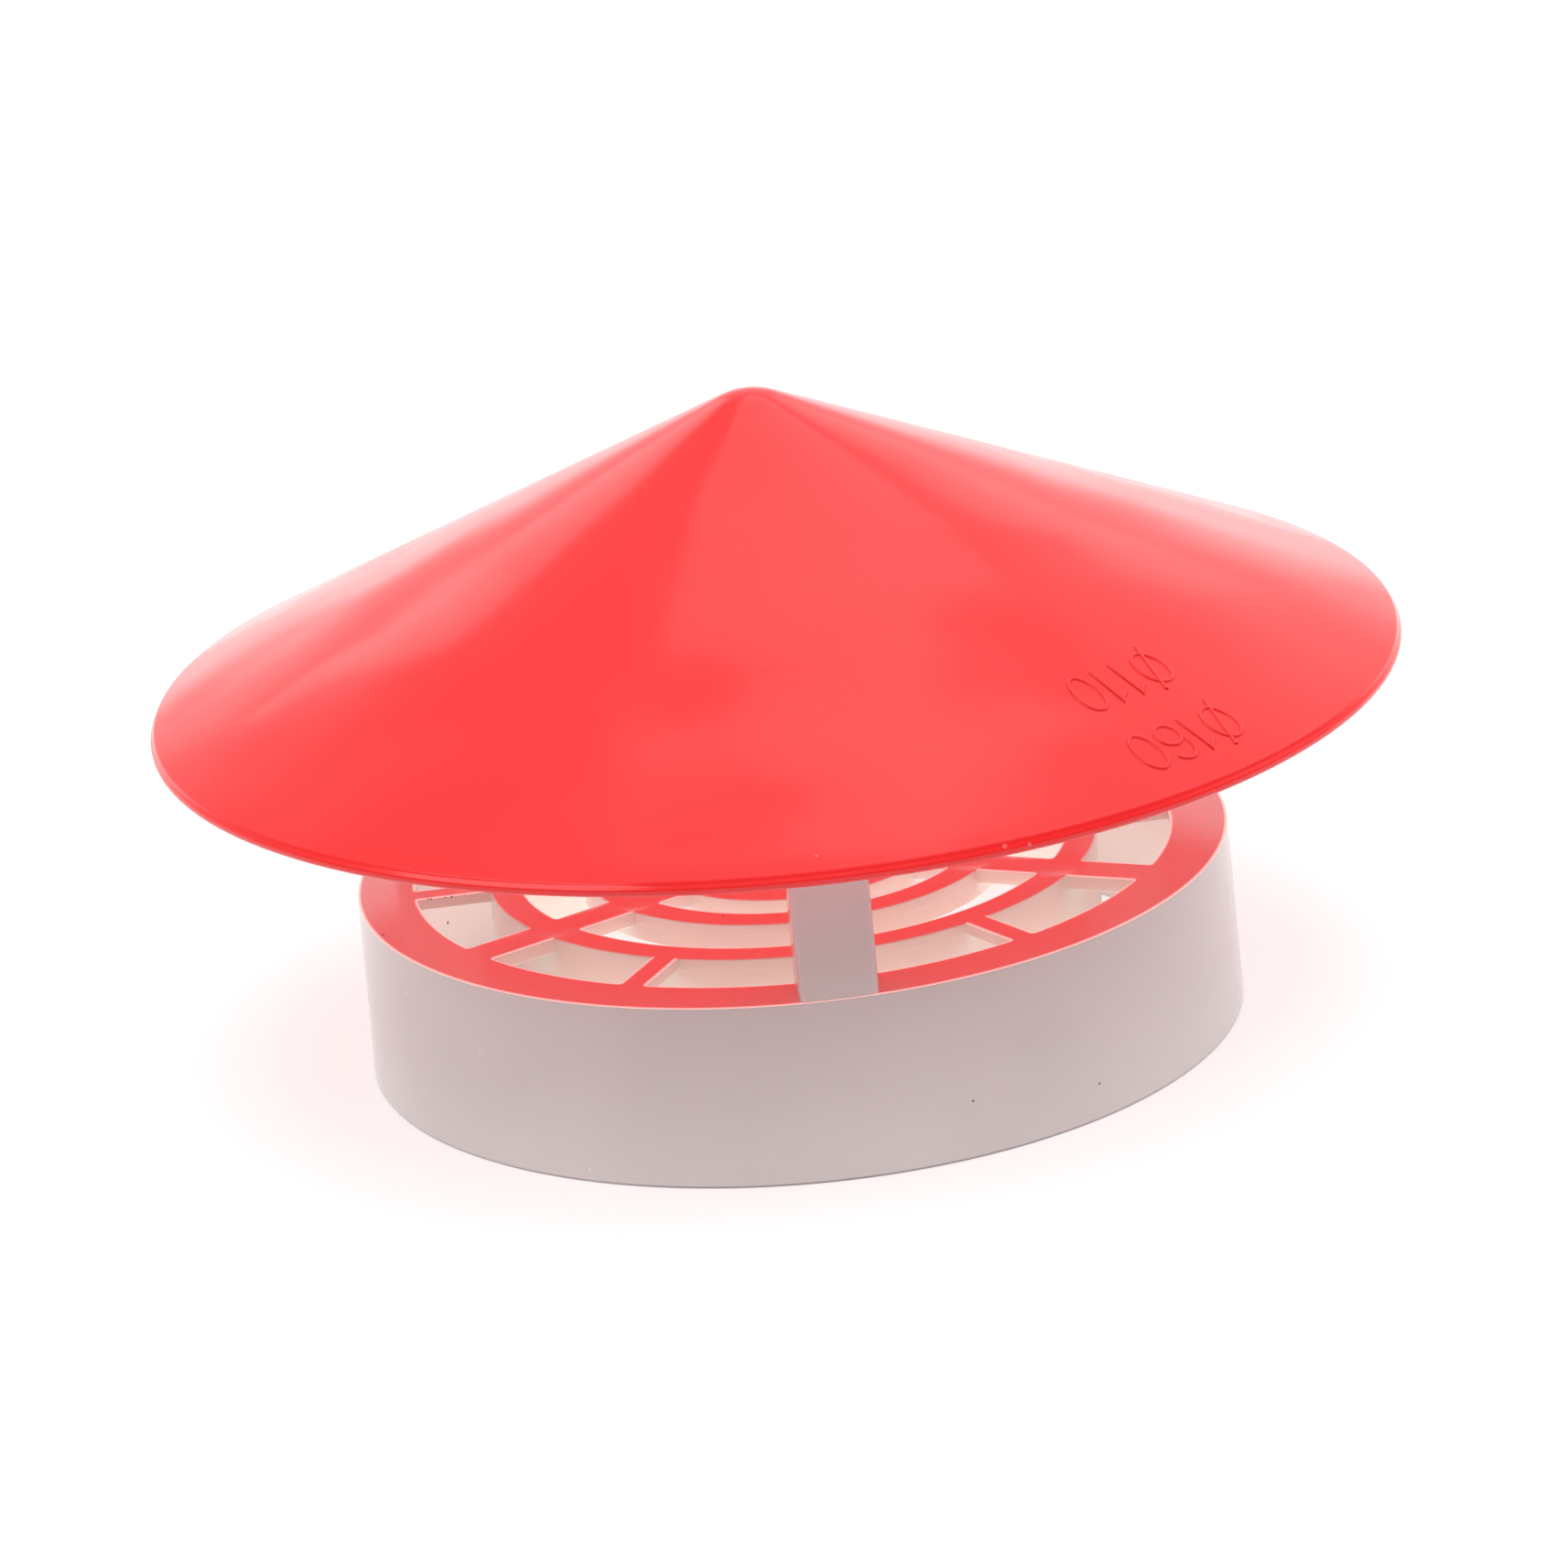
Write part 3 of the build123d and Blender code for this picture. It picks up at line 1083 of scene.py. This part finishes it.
def level_face(work, loops, spacing=0.0):
    """Triangles over the level space inside the first loop and outside the others."""
    corners = [vertex for loop in loops for vertex in loop]
    edges = []
    for loop in loops:
        first = len(edges)
        edges += [(first + i, first + (i + 1) % len(loop)) for i in range(len(loop))]
    flat = [vertex.co.xy for vertex in corners]
    if spacing:
        reach = max(p.length for p in flat)
        count = int(reach / spacing)
        grid = range(-count, count + 1)
        spots = [Vector(((i + j % 2 / 2) * spacing, j * spacing * sqrt(3) / 2)) for i in grid for j in grid]
        flat += [p for p in spots if p.length < reach - spacing]
    places, lines, faces, sources, kept, _ = delaunay_2d_cdt(flat, edges, [], 1, FLAT_GAP)
    fixed = {frozenset(line) for line, source in zip(lines, kept) if source}
    beside = {}
    for number, face in enumerate(faces):
        for pair in zip(face, face[1:] + face[:1]):
            beside.setdefault(frozenset(pair), []).append(number)
    rim = next(n for n, source in enumerate(sources) if 0 in source)
    queue = [next(f for line, f in beside.items() if rim in line and line in fixed)[0]]
    solid_face = {queue[0]: True}
    while queue:
        number = queue.pop()
        face = faces[number]
        for pair in map(frozenset, zip(face, face[1:] + face[:1])):
            for other in beside[pair]:
                if other not in solid_face:
                    solid_face[other] = solid_face[number] != (pair in fixed)
                    queue.append(other)
    height = corners[0].co.z
    known = {n: corners[s[0]] for n, s in enumerate(sources) if s and s[0] < len(corners)}
    for number, face in enumerate(faces):
        if solid_face[number]:
            for n in face:
                if n not in known:
                    known[n] = work.verts.new((*places[n], height))
            work.faces.new([known[n] for n in face])


def crossing_sinks(work):
    """Lowers the grille's top softly where each main rib crosses a ring."""
    base = settings("base")
    rows = grille_radii()
    rings = [(outer[0] + inner[1]) / 2 for outer, inner in zip(rows, rows[1:])]
    spots = [polar(radius, turn) for turn, _ in main_ribs() for radius in rings]
    for vertex in work.verts:
        if abs(vertex.co.z - base.height) > 2 * base.edge_round:
            continue
        for spot in spots:
            share = exp(-((vertex.co.xy - spot).length / base.sink_width) ** 4)
            vertex.co.z -= base.sink_depth * share


def base_body():
    """Collar, grille and hollow legs as one closed mesh."""
    base = settings("base")
    low = base.height - base.plate
    leg_top = BASE_HIGH.z
    work = bmesh.new()
    mark = work.verts.layers.float.new(EDGE_MARK)
    round_plan = [(Vector((0, 0)), polar(1, 2 * pi * i / COLLAR_STEPS)) for i in range(COLLAR_STEPS)]
    band, ceiling = walled(work, round_plan, skirt_rows())
    top_loops = [band]
    under_loops = [ceiling]
    for outline in grille_openings():
        upper, lower = walled(work, outline, opening_rows(base.edge_round, base.height, low), mark)
        top_loops.append(upper)
        under_loops.append(lower)
    for turn in LEG_TURNS:
        foot, crown = walled(work, leg_outline(turn), leg_rows(base.height, leg_top))
        mouth, drain = walled(work, hollow_outline(turn), opening_rows(base.edge_round, leg_top, low))
        level_face(work, [crown, mouth])
        top_loops.append(foot)
        under_loops.append(drain)
    level_face(work, top_loops, ARC_STEP)
    level_face(work, under_loops)
    crossing_sinks(work)
    body = closed_piece("white_base", work)
    body.data.shade_smooth()
    return body


def ring_outline(outer, inner, low, high):
    """Closed section of a ring, from a corner and back to it."""
    corners = [
        (outer, high), (outer, low + FINE_ROUND), (outer - FINE_ROUND, low),
        (inner + FINE_ROUND, low), (inner, low + FINE_ROUND), (inner, high),
    ]
    return [(radius, 0.0, height) for radius, height in corners + corners[:1]]


def hanging_rings():
    """Sections of the small pipe's socket and of the walls under the grille's rings."""
    base = settings("base")
    high = base.height - base.plate / 2
    small = socket_bore("small_pipe_socket")
    rows = grille_radii()
    rings = [(rows[0][0] - EDGE_PAD, small, base.socket_recess)]
    for low, _ in rows[1:3]:
        rings.append((low - EDGE_PAD, low - base.ring_wall, base.height - base.ring_depth))
    return [ring_outline(outer, inner, low, high) for outer, inner, low in rings]


def rib_bar(turn, half):
    """Deeper part of one main rib, from the centre to the band round the grille."""
    base = settings("base")
    high = base.height - base.plate / 2
    low = base.height - base.main_depth
    side = half - EDGE_PAD
    section = [
        (-side, high), (side, high), (side, low + RIB_BEVEL),
        (side - RIB_BEVEL, low), (RIB_BEVEL - side, low), (-side, low + RIB_BEVEL),
    ]
    spin = Matrix.Rotation(turn, 3, "Z")
    ends = (0.0, grille_radii()[0][1] + base.edge_round)
    work = bmesh.new()
    ring_solid(work, [[spin @ Vector((reach, y, z)) for y, z in section] for reach in ends], False)
    return closed_piece("rib_bar", work)


class RAINCAP_OT_base(bpy.types.Operator):
    """Build the moulded base: collar, grille, pipe sockets and legs"""

    bl_idname = "raincap.base"
    bl_label = "Base"

    def execute(self, context):
        plastic = base_plastic()
        base = base_body()
        base.data.materials.append(plastic)
        lathe = bpy.data.node_groups["lathe"]
        for section in hanging_rings():
            outline = line_mesh("ring_section", section)
            ring = grown(outline, lathe, "ring", Segments=COLLAR_STEPS, Material=plastic)
            outward(ring.data)
            joined(base, ring)
        for turn, half in main_ribs():
            joined(base, rib_bar(turn, half))
        base.data.set_sharp_from_angle(angle=SHARP_ANGLE)
        settle(base, BASE_SLOT, "vent_base")
        return {"FINISHED"}


# Stage


# Softboxes by name, setting of the radiance, place, aim, width and height in metres, and rays that meet them
MIDDLE = (0, 0, 60 * MM)
SOFTBOXES = (
    ("overhead", "overhead", (0.05, 0.1, 1.5), MIDDLE, 1.6, 1.6, "diffuse"),
    ("front", "front", (0, -0.9, 1.3), MIDDLE, 1.0, 1.0, "diffuse"),
    ("near_box", "near", (0.1, 0.33, 0.7), (0, 0.15, 0), 0.36, 0.45, "both"),
    ("left_panel", "left_panel", (-0.24, 0.64, 0.47), (-0.24, 0, 0.3), 0.2, 0.27, "both"),
    ("right_panel", "right_panel", (0.36, 0.64, 0.48), (0.3, 0, 0.3), 0.16, 0.3, "both"),
    ("left_strip", "left_strip", (-0.83, -0.52, 0.75), MIDDLE, 0.9, 0.5, "gloss"),
    ("left_side", "side", (-1.3, 0.25, 0.55), MIDDLE, 1.0, 1.0, "diffuse"),
    ("right_side", "side", (1.3, 0.25, 0.55), MIDDLE, 1.0, 1.0, "diffuse"),
)

# Lamps that stand for light through the plastic: heights and margins, and the places of those in the skirt
COLLAR_GLOW_HEIGHT = 1 * MM
TABLE_GLOW_HEIGHT = 0.5 * MM
TABLE_GLOW_MARGIN = 6 * MM
TABLE_GLOW_SPREAD = 1.5
HOOD_GLOW_HEIGHT = 3 * MM
HOOD_GLOW_MARGIN = 12 * MM
SKIRT_GLOW_RADIUS = 72 * MM
SKIRT_GLOW_HEIGHT = 18 * MM
SKIRT_GLOW_SIZE = (50 * MM, 20 * MM)
SKIRT_GLOW_DEGREES = (-40, 0, 40)

# Degrees over the horizon where the surround reaches its wall level and its sky level, and the parts of a
# ray along Y over which its gloss level rises from the sides and from the front to the back
WALL_DEGREES = 10
SKY_DEGREES = 34
SIDE_FADE = (0.0, cos(radians(18)))
FRONT_FADE = (-0.5, 0.25)

# Camera's sensor in millimetres, and the distances in metres that it sees between
SENSOR_WIDTH = 36.0
CLIP_START = 0.05
CLIP_END = 50.0


def softbox(name, place, aim, width, height, strength, colour=(1, 1, 1), shape="RECTANGLE"):
    """Lamp that faces a point, out of the gloss. Its strength is its radiance, or pi / 4 of a disc's."""
    data = bpy.data.lights.new(name, "AREA")
    data.shape = shape
    data.size = width
    data.size_y = height
    data.energy = strength * pi * width * height
    data.color = colour
    lamp = shown(name, data)
    lamp.location = place
    lamp.rotation_euler = (Vector(aim) - Vector(place)).to_track_quat("-Z", "Y").to_euler()
    lamp.visible_camera = False
    lamp.visible_glossy = False
    return lamp


def glow_disc(name, height, aim, width, strength, colour=(1, 1, 1)):
    """Round lamp on the axis."""
    softbox(name, (0, 0, height), aim, width, width, strength, colour, "DISK")


def surround():
    """Surround: level light for the object, white for the camera, and levels by direction for the gloss."""
    stage = settings("stage")
    world = bpy.data.worlds.new("surround")
    world.use_nodes = True
    bpy.context.scene.world = world
    tree = world.node_tree
    path = node(tree, "ShaderNodeLightPath")
    ray = node(tree, "ShaderNodeTexCoord").outputs["Generated"]
    way = node(tree, "ShaderNodeSeparateXYZ", {0: ray}).outputs

    def climb(low, high):
        ends = {"From Min": sin(radians(low)), "From Max": sin(radians(high))}
        return node(tree, "ShaderNodeMapRange", {"Value": way["Z"], **ends}).outputs[0]

    wall = calc(tree, "MULTIPLY", climb(0, WALL_DEGREES), stage.wall - stage.horizon)
    wall = calc(tree, "ADD", wall, stage.horizon)
    beside = ramp(tree, way["Y"], *SIDE_FADE, stage.front_gloss, 1.0)
    wall = calc(tree, "MULTIPLY", wall, beside)
    sky = calc(tree, "ADD", calc(tree, "MULTIPLY", way["X"], stage.sky_lean), stage.sky)
    rise = calc(tree, "MULTIPLY", calc(tree, "SUBTRACT", sky, wall), climb(WALL_DEGREES, SKY_DEGREES))
    front = ramp(tree, way["Y"], *FRONT_FADE, stage.front_gloss, 1.0)
    wall = calc(tree, "MULTIPLY", calc(tree, "ADD", wall, rise), front)
    direct = calc(tree, "MAXIMUM", path.outputs["Is Camera Ray"], path.outputs["Is Transmission Ray"])
    gloss = calc(tree, "MULTIPLY", path.outputs["Is Glossy Ray"], wall)
    seen = calc(tree, "MAXIMUM", direct, gloss)
    level = calc(tree, "MAXIMUM", seen, stage.ambient)
    background = tree.nodes["Background"]
    background.inputs["Color"].default_value = (1, 1, 1, 1)
    tree.links.new(level, background.inputs["Strength"])


class RAINCAP_OT_stage(bpy.types.Operator):
    """Set up the floor, the lamps, the surround and the camera"""

    bl_idname = "raincap.stage"
    bl_label = "Stage"

    def execute(self, context):
        stage = settings("stage")
        self.floor()
        surround()
        self.softboxes(stage)
        self.glows(stage)
        self.camera(context, stage)
        context.scene.view_settings.view_transform = "Standard"
        return {"FINISHED"}

    def floor(self):
        work = bmesh.new()
        bmesh.ops.create_circle(work, cap_ends=True, segments=FLOOR_SEGMENTS, radius=FLOOR_RADIUS)
        mesh = bpy.data.meshes.new("floor")
        work.to_mesh(mesh)
        work.free()
        mesh.materials.append(floor_finish())
        floor = shown("floor", mesh)

    def softboxes(self, stage):
        for name, level, place, aim, width, height, rays in SOFTBOXES:
            lamp = softbox(name, place, aim, width, height, getattr(stage, level))
            lamp.visible_glossy = rays != "diffuse"
            lamp.visible_diffuse = rays != "gloss"

    def glows(self, stage):
        finish = settings("finish")
        cream = finish.collar_cream
        up = (0, 0, 1)
        glow_disc("collar_glow", COLLAR_GLOW_HEIGHT, up, 2 * stage.glow_radius, stage.glow, cream)
        inwards = (0, 0, SKIRT_GLOW_HEIGHT)
        for side in SKIRT_GLOW_DEGREES:
            place = (*polar(SKIRT_GLOW_RADIUS, FIRST_LEG + radians(side)), SKIRT_GLOW_HEIGHT)
            softbox("skirt_glow", place, inwards, *SKIRT_GLOW_SIZE, stage.skirt_glow, cream)
        inside = 2 * socket_bore("large_pipe_socket") - TABLE_GLOW_MARGIN
        glow_disc("table_glow", TABLE_GLOW_HEIGHT, up, TABLE_GLOW_SPREAD * inside, stage.table)
        height = HOOD_LOW.z + HOOD_GLOW_HEIGHT
        wide = 2 * HOOD_HIGH.x - HOOD_GLOW_MARGIN
        glow_disc("hood_glow", height, (0, 0, 0), wide, stage.through, finish.through_red)

    def camera(self, context, stage):
        data = bpy.data.cameras.new("camera")
        data.lens = stage.lens
        data.sensor_width = SENSOR_WIDTH
        data.clip_start = CLIP_START
        data.clip_end = CLIP_END
        camera = shown("camera", data)
        turn = Matrix.Rotation(stage.azimuth, 3, "Z")
        back = turn @ Vector((0, -cos(stage.elevation), sin(stage.elevation)))
        aim = turn @ Vector((stage.aim_side, 0, stage.aim_height))
        camera.location = aim + back * stage.distance
        upright = (-back).to_track_quat("-Z", "Y").to_matrix()
        rolled = upright @ Matrix.Rotation(-stage.roll, 3, "Z")
        camera.rotation_euler = rolled.to_euler()
        context.scene.camera = camera


# Add-on


GROUPS = {
    "hood": HoodSizes, "socket": SocketSizes, "base": BaseSizes, "marks": MarkSizes, "finish": Finish,
    "stage": StageSettings,
}
OPERATORS = (RAINCAP_OT_hood, RAINCAP_OT_marks, RAINCAP_OT_base, RAINCAP_OT_stage)


class RAINCAP_PT_panel(bpy.types.Panel):
    """Lists the sizes and the steps of the rain cap"""

    bl_idname = "RAINCAP_PT_panel"
    bl_label = "Rain cap"
    bl_space_type = "VIEW_3D"
    bl_region_type = "UI"
    bl_category = "Rain Cap"

    def draw(self, context):
        for name, group in GROUPS.items():
            box = self.layout.box()
            box.label(text=name.capitalize())
            for prop in group.__annotations__:
                box.prop(settings(name), prop, text=prop.replace("_", " ").capitalize())
        for operator in OPERATORS:
            self.layout.operator(operator.bl_idname)


def register():
    for group in GROUPS.values():
        bpy.utils.register_class(group)
    for operator in OPERATORS:
        bpy.utils.register_class(operator)
    bpy.utils.register_class(RAINCAP_PT_panel)
    for name, group in GROUPS.items():
        setattr(bpy.types.Scene, "raincap_" + name, PointerProperty(type=group))


def unregister():
    for name in GROUPS:
        delattr(bpy.types.Scene, "raincap_" + name)
    bpy.utils.unregister_class(RAINCAP_PT_panel)
    for operator in reversed(OPERATORS):
        bpy.utils.unregister_class(operator)
    for group in reversed(GROUPS.values()):
        bpy.utils.unregister_class(group)


def main():
    register()
    bpy.ops.raincap.hood()
    bpy.ops.raincap.marks()
    bpy.ops.raincap.base()
    bpy.ops.raincap.stage()
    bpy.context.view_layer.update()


if __name__ == "__main__":
    main()
